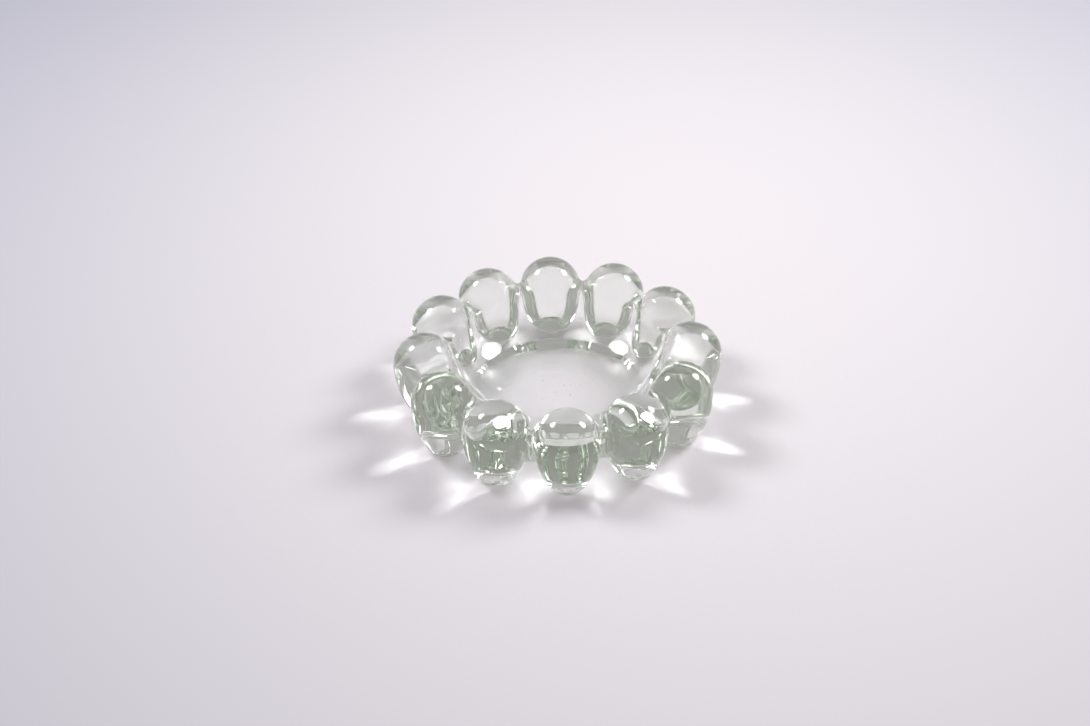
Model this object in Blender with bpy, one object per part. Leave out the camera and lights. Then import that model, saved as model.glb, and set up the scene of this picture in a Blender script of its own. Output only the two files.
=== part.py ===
"""Ring-shaped flower holder in pressed clear glass: a shallow round well with a floor, a low wall
around it, and twelve egg-shaped lobes that stand around the wall as its rim and its feet.

The glass is divided along its moulded features, so that each feature is a solid of its own:
well_floor, lobe_01 to lobe_12, and web_01 to web_12, where web_N is the stretch of wall that joins
lobe_N to the next lobe. Lengths are in metres, +Z is up, and the origin is the centre of the ring on
the plane that its feet rest on. Lobe 1 stands on the -Y side, and the numbers run anticlockwise as
seen from above.
"""

from math import atan2, cos, pi, radians, sin, tan

import bmesh
import bpy
from mathutils import Matrix, Vector

# The ring of lobes
LOBE_COUNT = 12
RING_RADIUS = 0.0515  # from the ring's centre to each lobe's axis
LOBE_PITCH = 2 * pi / LOBE_COUNT
FIRST_LOBE_ANGLE = radians(-90)

# One lobe: a half sphere on a tapering body with a small rounded foot
LOBE_RADIUS = 0.01225
EQUATOR_HEIGHT = 0.0207
TAPER_DEPTH = 0.0245  # below the equator, where the taper would run out to a point
TAPER_POWER = 1.9  # 2 would be an ellipse, and 1 a cone
FOOT_ROUNDING = 0.0010

# The bowl that the lobes stand around: a floor and a wall that leans outwards, with round corners
# inside and outside. The lobes' feet hold it off the table.
UNDERSIDE_HEIGHT = 0.0020
FLOOR_TOP_HEIGHT = 0.0067
WALL_TOP_HEIGHT = 0.0243
WELL_MOUTH_RADIUS = 0.0415
WELL_CORNER_RADIUS = 0.0365  # where the floor and the straight side of the wall would meet
WELL_LEAN = atan2(WELL_MOUTH_RADIUS - WELL_CORNER_RADIUS, WALL_TOP_HEIGHT - FLOOR_TOP_HEIGHT)
WELL_ROUNDING = 0.0160
WALL_OUTER_TOP_RADIUS = 0.0529
WALL_OUTER_CORNER_RADIUS = 0.0493
WALL_OUTER_LEAN = atan2(
    WALL_OUTER_TOP_RADIUS - WALL_OUTER_CORNER_RADIUS, WALL_TOP_HEIGHT - UNDERSIDE_HEIGHT
)
WALL_OUTER_ROUNDING = 0.0120
WALL_EDGE_ROUNDING = 0.0012
FLOOR_EDGE_BEVEL = 0.0005

# Space left between neighbouring solids, and how finely round shapes are divided
GAP = 0.0003
LOBE_SEGMENTS = 20
DOME_STEPS = 5
TAPER_STEPS = 6
ROUNDING_STEPS = 2
CORNER_STEPS = 5
WALL_STEPS = 4
FLOOR_SEGMENTS = 72
CUTTER_TOP_HEIGHT = 0.036


def clear_scene():
    for obj in list(bpy.data.objects):
        bpy.data.objects.remove(obj, do_unlink=True)


def clear_glass(name, tint):
    """Clear glass, given the faint tint that its thickness shows."""
    material = bpy.data.materials.new(name)
    material.use_nodes = True
    surface = material.node_tree.nodes["Principled BSDF"]
    surface.inputs["Base Color"].default_value = (*tint, 1)
    surface.inputs["Metallic"].default_value = 0
    surface.inputs["Roughness"].default_value = 0.02
    surface.inputs["IOR"].default_value = 1.52
    surface.inputs["Transmission Weight"].default_value = 1
    return material


def add_object(name, mesh, material=None):
    obj = bpy.data.objects.new(name, mesh)
    bpy.context.scene.collection.objects.link(obj)
    if material and not mesh.materials:
        mesh.materials.append(material)
    return obj


def mesh_from(name, bm, sharp_angle=radians(35)):
    """A mesh made from bm, with its faces turned outwards and its round parts shaded smooth."""
    bmesh.ops.recalc_face_normals(bm, faces=bm.faces)
    mesh = bpy.data.meshes.new(name)
    bm.to_mesh(mesh)
    bm.free()
    mesh.shade_smooth()
    mesh.set_sharp_from_angle(angle=sharp_angle)
    return mesh


def add_polyline(bm, points):
    """Edges through (radius, height) points in the XZ plane."""
    verts = [bm.verts.new((radius, 0, height)) for radius, height in points]
    return verts + [bm.edges.new(pair) for pair in zip(verts, verts[1:])]


def taper_radius(height):
    """The lobe's radius at a height at or below its equator."""
    share = (EQUATOR_HEIGHT - height) / TAPER_DEPTH
    return LOBE_RADIUS * (1 - share**TAPER_POWER) ** (1 / TAPER_POWER)


def lobe_profile():
    """(radius, height) points from the top of the dome down to the middle of the foot."""
    dome = [
        (LOBE_RADIUS * sin(turn), EQUATOR_HEIGHT + LOBE_RADIUS * cos(turn))
        for turn in (step * pi / 2 / DOME_STEPS for step in range(DOME_STEPS))
    ]
    heights = [
        EQUATOR_HEIGHT + (FOOT_ROUNDING - EQUATOR_HEIGHT) * step / TAPER_STEPS
        for step in range(TAPER_STEPS + 1)
    ]
    taper = [(taper_radius(height), height) for height in heights]
    rounding_start = taper[-1][0]
    foot = [
        (rounding_start - FOOT_ROUNDING * (1 - cos(turn)), FOOT_ROUNDING * (1 - sin(turn)))
        for turn in (step * pi / 2 / ROUNDING_STEPS for step in range(1, ROUNDING_STEPS + 1))
    ]
    return dome + taper + foot + [(0, 0)]


def whole_lobe_mesh(name, clearance=0):
    """The lobe's profile turned about its own axis, larger all round by the clearance."""
    middle = Vector((0, EQUATOR_HEIGHT))
    growth = 1 + clearance / LOBE_RADIUS
    points = [middle + (Vector(point) - middle) * growth for point in lobe_profile()]
    bm = bmesh.new()
    bmesh.ops.spin(
        bm,
        geom=add_polyline(bm, points),
        cent=(0, 0, 0),
        axis=(0, 0, 1),
        angle=2 * pi,
        steps=LOBE_SEGMENTS,
        use_merge=True,
    )
    bmesh.ops.remove_doubles(bm, verts=bm.verts, dist=1e-7)
    return mesh_from(name, bm)


def rounded_corner(corner_radius, height, lean, rounding):
    """Points around the rounded corner between a level line and a line that leans outwards."""
    turn = pi / 2 - lean
    middle = Vector((corner_radius - rounding * tan(turn / 2), height + rounding))
    angles = [step * turn / CORNER_STEPS for step in range(CORNER_STEPS + 1)]
    return [middle + rounding * Vector((sin(angle), -cos(angle))) for angle in angles]


def well_corner():
    """The round corner inside the well. It starts where the level floor ends."""
    return rounded_corner(WELL_CORNER_RADIUS, FLOOR_TOP_HEIGHT, WELL_LEAN, WELL_ROUNDING)


def wall_profile():
    """The closed outline of the wall's section, as (radius, height) points."""
    edge = WALL_EDGE_ROUNDING
    inner_corner = well_corner()
    outer_corner = rounded_corner(
        WALL_OUTER_CORNER_RADIUS, UNDERSIDE_HEIGHT, WALL_OUTER_LEAN, WALL_OUTER_ROUNDING
    )
    inner_top = Vector((WELL_MOUTH_RADIUS, WALL_TOP_HEIGHT))
    outer_top = Vector((WALL_OUTER_TOP_RADIUS, WALL_TOP_HEIGHT))
    turns = [step * pi / 2 / ROUNDING_STEPS for step in range(ROUNDING_STEPS + 1)]
    inner_edge = [inner_top + edge * Vector((1 - cos(turn), sin(turn) - 1)) for turn in turns]
    outer_edge = [outer_top + edge * Vector((sin(turn) - 1, cos(turn) - 1)) for turn in turns]
    return [
        (inner_corner[0].x, UNDERSIDE_HEIGHT),
        *inner_corner,
        *inner_edge,
        *outer_edge,
        *reversed(outer_corner),
    ]


def wall_sector_mesh():
    """One lobe pitch of wall, centred on +X, before the lobes are cut out of its ends."""
    profile = wall_profile()
    half = LOBE_PITCH / 2 - GAP / 2 / profile[0][0]
    bm = bmesh.new()
    geometry = add_polyline(bm, profile)
    corners = [item for item in geometry if isinstance(item, bmesh.types.BMVert)]
    first_face = bm.faces.new(corners)
    bmesh.ops.rotate(bm, verts=corners, cent=(0, 0, 0), matrix=Matrix.Rotation(-half, 3, "Z"))
    bmesh.ops.spin(
        bm,
        geom=[first_face, *first_face.edges, *corners],
        cent=(0, 0, 0),
        axis=(0, 0, 1),
        angle=2 * half,
        steps=WALL_STEPS,
    )
    return mesh_from("wall_sector", bm)


def well_space_mesh():
    """The open space of the well: its round corner and the straight side, carried on upwards."""
    top_radius = WELL_MOUTH_RADIUS + tan(WELL_LEAN) * (CUTTER_TOP_HEIGHT - WALL_TOP_HEIGHT)
    corner = well_corner()
    bottom = (0, corner[0].y)
    points = [bottom, *corner, (top_radius, CUTTER_TOP_HEIGHT), (0, CUTTER_TOP_HEIGHT)]
    bm = bmesh.new()
    bmesh.ops.spin(
        bm,
        geom=add_polyline(bm, points),
        cent=(0, 0, 0),
        axis=(0, 0, 1),
        angle=2 * pi,
        steps=FLOOR_SEGMENTS,
        use_merge=True,
    )
    bmesh.ops.remove_doubles(bm, verts=bm.verts, dist=1e-7)
    return mesh_from("well_space", bm)


def add_helper(name, mesh, radius=0, angle=0):
    """An unseen object that stands at a radius and an angle, to be cut or to cut with."""
    helper = add_object(name, mesh)
    helper.location = radius * Vector((cos(angle), sin(angle), 0))
    helper.rotation_euler.z = angle
    helper.hide_render = True
    helper.display_type = "WIRE"
    return helper


def cut_mesh(name, blank, cutters):
    """The blank's mesh with every cutter taken away from it."""
    for cutter in cutters:
        cut = blank.modifiers.new(cutter.name, "BOOLEAN")
        cut.operation = "DIFFERENCE"
        cut.solver = "EXACT"
        cut.object = cutter
    graph = bpy.context.evaluated_depsgraph_get()
    mesh = bpy.data.meshes.new_from_object(blank.evaluated_get(graph))
    mesh.name = name
    mesh.set_sharp_from_angle(angle=radians(35))
    return mesh


def lobe_mesh():
    """One lobe, cut flush with the well on its inner side, which faces -X."""
    blank = add_helper("lobe_blank", whole_lobe_mesh("lobe_blank"), RING_RADIUS)
    return cut_mesh("lobe", blank, [add_helper("well_cutter", well_space_mesh())])


def web_mesh():
    """The wall between two neighbouring lobes, centred on +X, with both lobes cut away."""
    cutter = whole_lobe_mesh("lobe_cutter", clearance=GAP)
    blank = add_helper("web_blank", wall_sector_mesh())
    cutters = [
        add_helper("lobe_cutter_right", cutter, RING_RADIUS, -LOBE_PITCH / 2),
        add_helper("lobe_cutter_left", cutter, RING_RADIUS, LOBE_PITCH / 2),
    ]
    return cut_mesh("web", blank, cutters)


def floor_mesh():
    """The level floor: a round slab with a small bevel around both rims."""
    bm = bmesh.new()
    radius = well_corner()[0].x - GAP
    bmesh.ops.create_cone(
        bm,
        cap_ends=True,
        segments=FLOOR_SEGMENTS,
        radius1=radius,
        radius2=radius,
        depth=FLOOR_TOP_HEIGHT - UNDERSIDE_HEIGHT,
        matrix=Matrix.Translation((0, 0, (FLOOR_TOP_HEIGHT + UNDERSIDE_HEIGHT) / 2)),
    )
    rims = [edge for edge in bm.edges if edge.verts[0].co.z == edge.verts[1].co.z]
    bmesh.ops.bevel(bm, geom=rims, offset=FLOOR_EDGE_BEVEL, segments=1, affect="EDGES")
    return mesh_from("well_floor", bm)


def add_lobes(material):
    mesh = lobe_mesh()
    for number in range(LOBE_COUNT):
        angle = FIRST_LOBE_ANGLE + number * LOBE_PITCH
        lobe = add_object(f"lobe_{number + 1:02d}", mesh, material)
        lobe.location = RING_RADIUS * Vector((cos(angle), sin(angle), 0))
        lobe.rotation_euler.z = angle


def add_webs(material):
    mesh = web_mesh()
    for number in range(LOBE_COUNT):
        web = add_object(f"web_{number + 1:02d}", mesh, material)
        web.rotation_euler.z = FIRST_LOBE_ANGLE + (number + 0.5) * LOBE_PITCH


def add_floor(material):
    add_object("well_floor", floor_mesh(), material)


def main():
    clear_scene()
    add_lobes(clear_glass("lobe_glass", (0.80, 0.86, 0.81)))
    add_webs(clear_glass("web_glass", (0.84, 0.88, 0.84)))
    add_floor(clear_glass("floor_glass", (0.88, 0.90, 0.87)))


main()
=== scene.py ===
"""The looks of a ring-shaped flower holder in pressed clear glass.

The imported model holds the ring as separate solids, one for each moulded feature. The real thing is one
piece of glass, so this script makes that piece: a seamless surface that follows the same lobes, webs
and floor, with the soft fillets of pressed glass between them. It works in metres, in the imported
model's own frame.
"""

from math import cos, hypot, pi, radians, sin

import bmesh
import bpy
import numpy as np
from mathutils import Matrix, Vector


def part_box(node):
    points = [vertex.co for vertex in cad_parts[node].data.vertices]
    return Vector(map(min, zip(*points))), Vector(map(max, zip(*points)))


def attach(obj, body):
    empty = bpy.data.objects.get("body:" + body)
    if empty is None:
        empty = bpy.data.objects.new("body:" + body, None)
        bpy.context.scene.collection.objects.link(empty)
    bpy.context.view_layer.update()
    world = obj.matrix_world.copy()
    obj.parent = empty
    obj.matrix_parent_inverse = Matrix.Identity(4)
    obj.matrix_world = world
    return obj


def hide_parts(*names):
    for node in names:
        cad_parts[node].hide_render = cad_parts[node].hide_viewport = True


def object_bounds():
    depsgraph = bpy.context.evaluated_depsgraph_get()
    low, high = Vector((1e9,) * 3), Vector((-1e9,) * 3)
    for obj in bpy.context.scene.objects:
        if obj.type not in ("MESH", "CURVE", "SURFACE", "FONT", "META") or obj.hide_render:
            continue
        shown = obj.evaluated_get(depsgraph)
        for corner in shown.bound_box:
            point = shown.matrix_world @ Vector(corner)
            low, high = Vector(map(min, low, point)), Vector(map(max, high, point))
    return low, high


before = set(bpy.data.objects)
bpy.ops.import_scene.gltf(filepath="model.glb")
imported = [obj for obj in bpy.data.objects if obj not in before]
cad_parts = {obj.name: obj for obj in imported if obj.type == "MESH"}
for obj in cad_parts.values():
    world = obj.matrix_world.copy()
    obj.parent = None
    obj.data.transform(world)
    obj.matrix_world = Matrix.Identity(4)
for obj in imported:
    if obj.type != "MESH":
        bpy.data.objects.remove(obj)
cad_low, cad_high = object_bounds()

# ---------------------------------------------------------------------------------------------
# Sizes, read from the frame's solids
# ---------------------------------------------------------------------------------------------
# The solids of the lobes are cut flush with the well on their inner side, so a lobe's radius comes
# from its extent in X and its axis from its outermost point.
lobe_low, lobe_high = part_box("lobe_01")
web_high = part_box("web_01")[1]
floor_low, floor_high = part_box("well_floor")

LOBE_COUNT = sum(name.startswith("lobe_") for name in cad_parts)
PITCH = 2 * pi / LOBE_COUNT
LOBE_RADIUS = (lobe_high.x - lobe_low.x) / 2
RING_RADIUS = -lobe_low.y - LOBE_RADIUS
FIRST_LOBE_ANGLE = radians(-90)
EQUATOR = lobe_high.z - LOBE_RADIUS
WALL_TOP = web_high.z
FLOOR_TOP = floor_high.z
UNDERSIDE_HEIGHT = floor_low.z

# One lobe below its equator
TAPER_DEPTH = 0.0245  # where the taper would run out to a point
TAPER_POWER = 1.9  # 2 would be an ellipse, and 1 a cone
TAPER_LIMITS = (1e-9, 0.98)  # the shares of that depth between which the taper is worked out
FOOT_ROUNDING = 0.0009

# The bowl, inside and outside, and the fillets between it and the lobes
WELL_CORNER_RADIUS = 0.0365  # where the floor and the straight side of the wall would meet
WELL_MOUTH_RADIUS = 0.0415
WELL_ROUNDING = 0.0170
RIM_ROUNDING = 0.0020
WALL_OUTER_TOP_RADIUS = 0.0529
WALL_OUTER_FOOT_RADIUS = 0.0490  # carried on down to the table
WALL_OUTER_ROUNDING = 0.0040
UNDERSIDE_ROUNDING = 0.0135
LOBE_FILLET = 0.0025
BASE_ROUNDING = 0.0008  # where the feet are cut off by the table

# Seed bubbles in the floor
BUBBLE_COUNT = 16
BUBBLE_RADII = (0.00010, 0.00024)
BUBBLE_SPREAD = (0.0060, 0.0035)
BUBBLE_DEPTH = 0.0010  # the least distance from a bubble's middle to either face of the floor
BUBBLE_SUBDIVISIONS = 2
BUBBLE_SEED = 5

# How finely the surface is divided
WEDGE_CELLS = 60
GRID_CELL = 0.0005
GRID_INNER_RADIUS = 0.0205
GRID_MARGIN = 3  # cells outside the glass
GRID_LIFT = 1.5  # cells below the table, so that no layer of points lies on it
DISC_SHRINK = 0.72  # each ring's radius against the one around it, inside the grid
DISC_LAST_RING = 8  # vertices
GRADIENT_STEP = 2e-6
PROJECTION_ROUNDS = 5
LEAST_SLOPE_SQUARED = 0.05


def smooth_min(a, b, blend):
    """The lesser of two distances, with a fillet where they are within a blend length of each other."""
    near = np.maximum(blend - np.abs(a - b), 0) / blend
    return np.minimum(a, b) - near**3 * blend / 6


def smooth_max(a, b, blend):
    return -smooth_min(-a, -b, blend)


def round_max(a, b, radius):
    """The greater of two distances, with their edge rounded to a radius."""
    corner = np.hypot(np.maximum(a + radius, 0), np.maximum(b + radius, 0))
    return np.minimum(np.maximum(a, b), -radius) + corner


def round_min(a, b, radius):
    return -round_max(-a, -b, radius)


def lobe_distance(offset, height):
    """Distance to one lobe's surface, from the offset to its axis and the height."""
    dome = np.hypot(offset, height - EQUATOR) - LOBE_RADIUS
    depth = np.clip((EQUATOR - height) / TAPER_DEPTH, *TAPER_LIMITS)
    left = 1 - depth**TAPER_POWER
    radius = LOBE_RADIUS * left ** (1 / TAPER_POWER)
    slope = LOBE_RADIUS / TAPER_DEPTH * depth ** (TAPER_POWER - 1) * left ** (1 / TAPER_POWER - 1)
    taper = (offset - radius) / np.sqrt(1 + slope**2)
    body = np.where(height > EQUATOR, dome, taper)
    return round_max(body, -height, FOOT_ROUNDING)


def rim_distance(radius, height):
    """Distance to the thick disc that joins the lobes, before the well is pressed into it."""
    spread = WALL_OUTER_TOP_RADIUS - WALL_OUTER_FOOT_RADIUS
    outer = WALL_OUTER_FOOT_RADIUS + spread * height / WALL_TOP
    disc = round_max(height - WALL_TOP, radius - outer, WALL_OUTER_ROUNDING)
    return round_max(disc, UNDERSIDE_HEIGHT - height, UNDERSIDE_ROUNDING)


def well_distance(radius, height):
    """Distance to the well's wall and floor, positive in the hollow of the well."""
    lean = (WELL_MOUTH_RADIUS - WELL_CORNER_RADIUS) / (WALL_TOP - FLOOR_TOP)
    wall = (WELL_CORNER_RADIUS + lean * (height - FLOOR_TOP) - radius) / hypot(1, lean)
    return round_min(wall, height - FLOOR_TOP, WELL_ROUNDING)


def glass_distance(points):
    """Signed distance, negative inside, from points in the frame to the glass surface."""
    x, y, height = points.T
    radius = np.hypot(x, y)
    angle = (np.arctan2(y, x) - FIRST_LOBE_ANGLE + PITCH / 2) % PITCH - PITCH / 2
    body = rim_distance(radius, height)
    for turn in (-PITCH, 0, PITCH):
        offset = np.hypot(radius * np.cos(angle + turn) - RING_RADIUS, radius * np.sin(angle + turn))
        body = round_min(body, lobe_distance(offset, height), LOBE_FILLET)
    body = round_max(body, well_distance(radius, height), RIM_ROUNDING)
    return smooth_max(body, -height, BASE_ROUNDING)


def glass_gradient(points):
    """The distance's gradient at each point, by central differences."""
    slopes = []
    for axis in range(3):
        shift = np.zeros(3)
        shift[axis] = GRADIENT_STEP
        rise = glass_distance(points + shift) - glass_distance(points - shift)
        slopes.append(rise / (2 * GRADIENT_STEP))
    return np.stack(slopes, axis=1)


def onto_surface(points):
    """The points, moved along the gradient until they are on the glass surface."""
    for _ in range(PROJECTION_ROUNDS):
        slope = glass_gradient(points)
        reach = glass_distance(points) / np.maximum((slope**2).sum(1), LEAST_SLOPE_SQUARED)
        points = points - slope * reach[:, None]
    return points


def cylinder_points(radius, angle, height):
    return np.stack([radius * np.cos(angle), radius * np.sin(angle), height], axis=-1)


def wedge_net(radii, angles, heights):
    """Surface nets on one lobe pitch of a cylindrical grid that repeats around the ring.

    Gives the vertices of one wedge as points, its quads as (vertex, wedge offset) pairs, and the
    vertex number of each grid cell, or -1."""
    grid = np.stack(np.meshgrid(radii, angles, heights, indexing="ij"), axis=-1).reshape(-1, 3)
    shape = (len(radii), len(angles), len(heights))
    values = glass_distance(cylinder_points(*grid.T)).reshape(shape)
    inside = values < 0
    cells = (shape[0] - 1, shape[1], shape[2] - 1)
    total = np.zeros((*cells, 3))
    count = np.zeros(cells)

    def corner(array, i, j, k):
        return np.roll(array, -j, axis=1)[i : i + cells[0], :, k : k + cells[2]]

    corners = [(i, j, k) for i in (0, 1) for j in (0, 1) for k in (0, 1)]
    for start in corners:
        for axis in range(3):
            if start[axis]:
                continue
            end = tuple(1 if n == axis else start[n] for n in range(3))
            crossed = corner(inside, *start) != corner(inside, *end)
            low, high = corner(values, *start), corner(values, *end)
            share = np.where(crossed, low / np.where(crossed, low - high, 1), 0)
            for n in range(3):
                total[..., n] += crossed * (start[n] + (share if n == axis else 0))
            count += crossed
    active = count > 0
    number = np.full(cells, -1)
    number[active] = np.arange(active.sum())
    place = total[active] / count[active][:, None]
    i, j, k = np.nonzero(active)
    step = angles[1] - angles[0]
    radius = radii[i] + place[:, 0] * (radii[i + 1] - radii[i])
    height = heights[k] + place[:, 2] * (heights[k + 1] - heights[k])
    points = cylinder_points(radius, angles[j] + place[:, 1] * step, height)

    quads = []
    for axis in range(3):
        others = [n for n in range(3) if n != axis]
        change = inside != np.roll(inside, -1, axis=axis)
        if axis != 1:
            change[(slice(None),) * axis + (-1,)] = False
        for n in others:
            if n != 1:
                change[(slice(None),) * n + (0,)] = False
                change[(slice(None),) * n + (-1,)] = False
        at = np.stack(np.nonzero(change), axis=1)
        ring = []
        for back in ((1, 1), (0, 1), (0, 0), (1, 0)):
            cell = at.copy()
            cell[:, others[0]] -= back[0]
            cell[:, others[1]] -= back[1]
            wedge = np.where(cell[:, 1] < 0, -1, 0)
            cell[:, 1] %= cells[1]
            ring.append(np.stack([number[tuple(cell.T)], wedge], axis=1))
        quads.append(np.stack(ring, axis=1))
    return points, np.concatenate(quads), number


def repeat_round(points, quads):
    """The wedge's points and quads repeated around the ring, with shared vertices at each seam."""
    size = len(points)
    turned, faces = [], []
    for wedge in range(LOBE_COUNT):
        spin = np.array(Matrix.Rotation(wedge * PITCH, 3, "Z"))
        turned.append(points @ spin.T)
        faces.append((quads[..., 1] + wedge) % LOBE_COUNT * size + quads[..., 0])
    return np.concatenate(turned), np.concatenate(faces)


def fill_disc(points, loop, faces):
    """Closes a round hole with rings of half as many vertices each, down to the middle."""
    extra = []
    centre_height = points[loop[0], 2]
    radius = np.hypot(*points[loop[0], :2])
    angles = np.arctan2(points[loop, 1], points[loop, 0])
    following = len(points)
    while len(loop) > DISC_LAST_RING and len(loop) % 2 == 0:
        radius *= DISC_SHRINK
        angles = angles[::2]
        inner = np.arange(following, following + len(angles))
        following += len(angles)
        extra.append(cylinder_points(radius, angles, np.full(len(angles), centre_height)))
        ahead = np.roll(inner, -1)
        outer, middle, last = loop[::2], loop[1::2], np.roll(loop[::2], -1)
        faces += [tuple(f) for f in zip(outer, middle, inner)]
        faces += [tuple(f) for f in zip(middle, ahead, inner)]
        faces += [tuple(f) for f in zip(middle, last, ahead)]
        loop = inner
    faces.append(tuple(loop))
    return np.concatenate([points, *extra])


def glass_mesh():
    margin = GRID_MARGIN * GRID_CELL
    radii = np.arange(GRID_INNER_RADIUS, RING_RADIUS + LOBE_RADIUS + margin, GRID_CELL)
    angles = FIRST_LOBE_ANGLE + (np.arange(WEDGE_CELLS) / WEDGE_CELLS - 0.5) * PITCH
    heights = np.arange(-GRID_LIFT * GRID_CELL, cad_high.z + margin, GRID_CELL)
    points, quads, number = wedge_net(radii, angles, heights)
    rim_cells = number[0]
    rims = [np.array([column[column >= 0][pick] for column in rim_cells]) for pick in (0, -1)]
    size = len(points)
    points, quads = repeat_round(points, quads)
    faces = []
    for rim in rims:
        loop = np.concatenate([rim + wedge * size for wedge in range(LOBE_COUNT)])
        points = fill_disc(points, loop, faces)
    points = onto_surface(points)
    normals = glass_gradient(points)
    normals /= np.linalg.norm(normals, axis=1, keepdims=True)
    triangles = np.array([face for face in faces if len(face) == 3])
    centres = [face for face in faces if len(face) > 3]
    faces = outward(quads, points, normals) + outward(triangles, points, normals)
    faces += [outward(np.array([face]), points, normals)[0] for face in centres]
    points, normals = add_bubbles(points, normals, faces)
    mesh = bpy.data.meshes.new("glass_ring")
    mesh.from_pydata(points.tolist(), [], faces)
    mesh.validate()
    mesh.shade_smooth()
    mesh.normals_split_custom_set_from_vertices(normals.tolist())
    return mesh


def add_bubbles(points, normals, faces):
    """A few seed bubbles in the middle of the floor: tiny balls of air, so they face inwards."""
    random = np.random.default_rng(BUBBLE_SEED)
    ball = bmesh.new()
    bmesh.ops.create_icosphere(ball, subdivisions=BUBBLE_SUBDIVISIONS, radius=1)
    directions = np.array([vert.co[:] for vert in ball.verts])
    directions /= np.linalg.norm(directions, axis=1, keepdims=True)
    corners = np.array([[vert.index for vert in reversed(face.verts)] for face in ball.faces])
    ball.free()
    for _ in range(BUBBLE_COUNT):
        x, y = random.normal(0, BUBBLE_SPREAD)
        height = random.uniform(UNDERSIDE_HEIGHT + BUBBLE_DEPTH, FLOOR_TOP - BUBBLE_DEPTH)
        radius = random.uniform(*BUBBLE_RADII)
        faces += (corners + len(points)).tolist()
        points = np.concatenate([points, directions * radius + (x, y, height)])
        normals = np.concatenate([normals, -directions])
    return points, normals


def outward(faces, points, normals):
    """The faces, all with the same number of corners, with each turned to face outwards."""
    a, b, c = (points[faces[:, n]] for n in (0, 1, 2))
    facing = (np.cross(b - a, c - a) * normals[faces[:, 1]]).sum(1)
    return np.where(facing[:, None] > 0, faces, faces[:, ::-1]).tolist()


# ---------------------------------------------------------------------------------------------
# Glass
# ---------------------------------------------------------------------------------------------
GLASS_INDEX = 1.52
GLASS_TINT = (0.60, 0.685, 0.57, 1)
GLASS_DENSITY = 10.0


def glass_material():
    material = bpy.data.materials.new("clear_pressed_glass")
    material.use_nodes = True
    nodes, links = material.node_tree.nodes, material.node_tree.links
    nodes.clear()
    output = nodes.new("ShaderNodeOutputMaterial")
    surface = nodes.new("ShaderNodeBsdfGlass")
    surface.inputs["Color"].default_value = (1, 1, 1, 1)
    surface.inputs["Roughness"].default_value = 0.0
    surface.inputs["IOR"].default_value = GLASS_INDEX
    volume = nodes.new("ShaderNodeVolumeAbsorption")
    volume.inputs["Color"].default_value = GLASS_TINT
    volume.inputs["Density"].default_value = GLASS_DENSITY
    links.new(surface.outputs[0], output.inputs["Surface"])
    links.new(volume.outputs[0], output.inputs["Volume"])
    return material


def add_glass():
    ring = bpy.data.objects.new("glass_ring", glass_mesh())
    bpy.context.scene.collection.objects.link(ring)
    ring.data.materials.append(glass_material())
    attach(ring, "root")
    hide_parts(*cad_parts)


# ---------------------------------------------------------------------------------------------
# Stage: floor, lamps and camera
# ---------------------------------------------------------------------------------------------
SWEEP_HALF_WIDTH = 3.0
SWEEP_DROP = 0.00002  # below the plane that the feet rest on
SWEEP_ROUGHNESS = 0.9
# The floor's colour carries painted light: a painted pool of light around this centre, falling off to a
# painted shade colour at the sides
PAINTED_LIGHT_POOL_CENTRE = (0.05, 0.09, 0)
PAINTED_LIGHT_POOL_REACH = (0.40, 0.65, 1)
SWEEP_PAINTED_LIT_COLOUR = (0.884, 0.847, 0.888, 1)
SWEEP_PAINTED_SHADE_COLOUR = (0.390, 0.400, 0.500, 1)
PAINTED_LIGHT_FALLOFF = 1.45

WORLD_COLOUR = (1.0, 0.965, 0.955, 1)
WORLD_STRENGTH = 0.437

# Name, azimuth (0 is +X) and elevation in degrees, width and power
LAMP_DISTANCE = 1.1
LAMPS = [
    ("lamp_left", 154.7, 45.7, 0.36, 4.8),
    ("lamp_right", 21.2, 40.0, 0.42, 5.8),
]

# The camera, in degrees and in millimetres of lens and sensor
CAMERA_LENS = 53.07
CAMERA_SENSOR = 36
CAMERA_CLIP_START = 0.01
CAMERA_DISTANCE = 12.10 * RING_RADIUS
CAMERA_AZIMUTH = -3.34
CAMERA_ELEVATION = 35.64
CAMERA_PITCH = 35.80
CAMERA_HEADING = -2.766
CAMERA_ROLL = -0.838

LIGHT_BOUNCES = 40
GLOSSY_BLUR = 0.1


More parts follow.
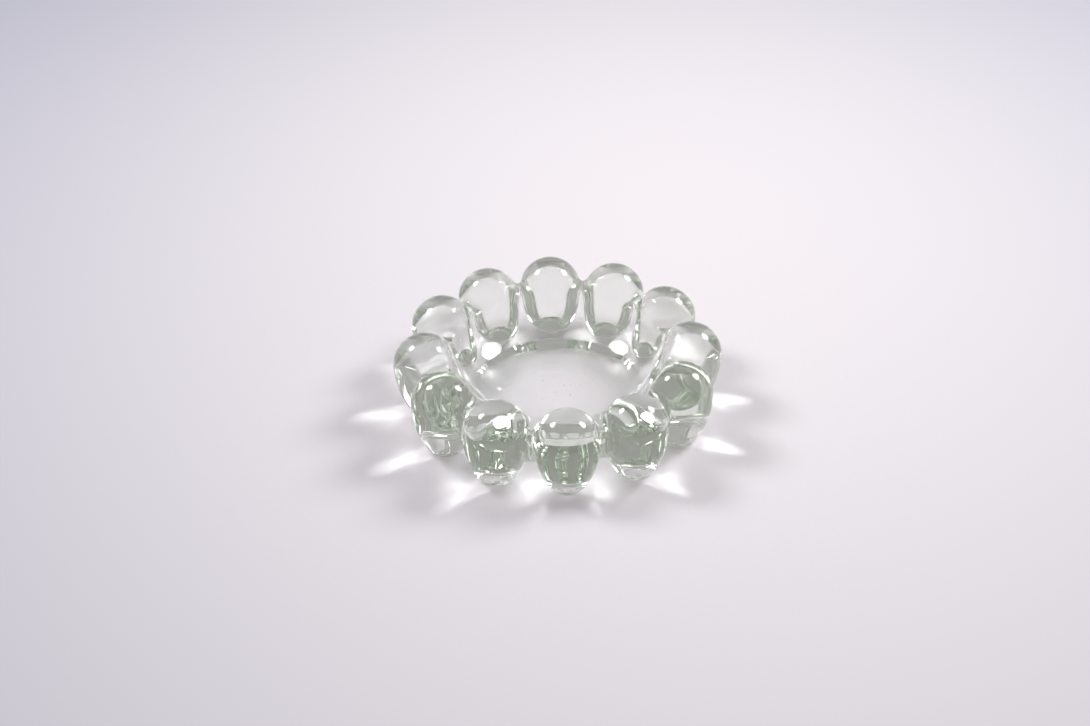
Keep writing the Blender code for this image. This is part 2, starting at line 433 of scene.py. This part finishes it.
def painted_light_sweep_material():
    """White paper with painted light: its colour is a painted pool of the lamps' light, brightest behind
    the ring.
    It falls off most to the sides, to a darker, cooler grey of painted shade."""
    material = bpy.data.materials.new("white_sweep_painted_light")
    material.use_nodes = True
    nodes, links = material.node_tree.nodes, material.node_tree.links
    surface = nodes["Principled BSDF"]
    surface.inputs["Roughness"].default_value = SWEEP_ROUGHNESS
    place = nodes.new("ShaderNodeTexCoord")
    from_centre = nodes.new("ShaderNodeVectorMath")
    from_centre.operation = "SUBTRACT"
    from_centre.inputs[1].default_value = PAINTED_LIGHT_POOL_CENTRE
    scaled = nodes.new("ShaderNodeVectorMath")
    scaled.operation = "DIVIDE"
    scaled.inputs[1].default_value = PAINTED_LIGHT_POOL_REACH
    squared = nodes.new("ShaderNodeVectorMath")
    squared.operation = "DOT_PRODUCT"
    steepened = nodes.new("ShaderNodeMath")
    steepened.operation = "MULTIPLY"
    steepened.inputs[1].default_value = -PAINTED_LIGHT_FALLOFF
    # Painted light: the lit colour fades into the painted shade colour with distance from the pool's
    # centre
    painted_light_share = nodes.new("ShaderNodeMath")
    painted_light_share.operation = "EXPONENT"
    colour = nodes.new("ShaderNodeMix")
    colour.data_type = "RGBA"
    colour.inputs["A"].default_value = SWEEP_PAINTED_SHADE_COLOUR
    colour.inputs["B"].default_value = SWEEP_PAINTED_LIT_COLOUR
    links.new(place.outputs["Object"], from_centre.inputs[0])
    links.new(from_centre.outputs[0], scaled.inputs[0])
    links.new(scaled.outputs[0], squared.inputs[0])
    links.new(scaled.outputs[0], squared.inputs[1])
    links.new(squared.outputs["Value"], steepened.inputs[0])
    links.new(steepened.outputs[0], painted_light_share.inputs[0])
    links.new(painted_light_share.outputs[0], colour.inputs["Factor"])
    links.new(colour.outputs["Result"], surface.inputs["Base Color"])
    return material


def add_floor():
    mesh = bpy.data.meshes.new("studio_floor")
    half = SWEEP_HALF_WIDTH
    corners = [(-half, -half, 0), (half, -half, 0), (half, half, 0), (-half, half, 0)]
    mesh.from_pydata(corners, [], [(0, 1, 2, 3)])
    floor = bpy.data.objects.new("studio_floor", mesh)
    floor.location.z = -SWEEP_DROP
    bpy.context.scene.collection.objects.link(floor)
    mesh.materials.append(painted_light_sweep_material())


def add_lamp(name, azimuth, elevation, size, power):
    """A round soft lamp that faces the ring."""
    turn, rise = radians(azimuth), radians(elevation)
    back = Vector((cos(turn) * cos(rise), sin(turn) * cos(rise), sin(rise)))
    data = bpy.data.lights.new(name, "AREA")
    data.shape = "DISK"
    data.size = size
    data.energy = power
    lamp = bpy.data.objects.new(name, data)
    lamp.location = back * LAMP_DISTANCE + Vector((0, 0, EQUATOR))
    lamp.rotation_mode = "QUATERNION"
    lamp.rotation_quaternion = (-back).to_track_quat("-Z", "Y")
    bpy.context.scene.collection.objects.link(lamp)


def set_world():
    world = bpy.data.worlds.new("studio")
    world.use_nodes = True
    background = world.node_tree.nodes["Background"]
    background.inputs["Color"].default_value = WORLD_COLOUR
    background.inputs["Strength"].default_value = WORLD_STRENGTH
    bpy.context.scene.world = world


def add_camera():
    data = bpy.data.cameras.new("camera")
    data.lens = CAMERA_LENS
    data.sensor_width = CAMERA_SENSOR
    data.clip_start = CAMERA_CLIP_START
    camera = bpy.data.objects.new("camera", data)
    turn, rise = radians(CAMERA_AZIMUTH), radians(CAMERA_ELEVATION)
    back = Vector((sin(turn) * cos(rise), -cos(turn) * cos(rise), sin(rise)))
    place = Matrix.Translation(back * CAMERA_DISTANCE + Vector((0, 0, EQUATOR)))
    heading = Matrix.Rotation(radians(CAMERA_HEADING), 4, "Z")
    pitch = Matrix.Rotation(radians(90 - CAMERA_PITCH), 4, "X")
    roll = Matrix.Rotation(radians(CAMERA_ROLL), 4, "Z")
    camera.matrix_world = place @ heading @ pitch @ roll
    bpy.context.scene.collection.objects.link(camera)
    bpy.context.scene.camera = camera


def set_light_paths():
    """Many bounces, as light is reflected many times inside the lobes, and nearly sharp caustics."""
    cycles = bpy.context.scene.cycles
    cycles.max_bounces = LIGHT_BOUNCES
    cycles.transmission_bounces = LIGHT_BOUNCES
    cycles.glossy_bounces = LIGHT_BOUNCES
    cycles.blur_glossy = GLOSSY_BLUR
    cycles.sample_clamp_indirect = 0


bpy.context.scene.view_settings.view_transform = "Standard"
set_light_paths()
add_glass()
add_floor()
set_world()
for lamp in LAMPS:
    add_lamp(*lamp)
add_camera()
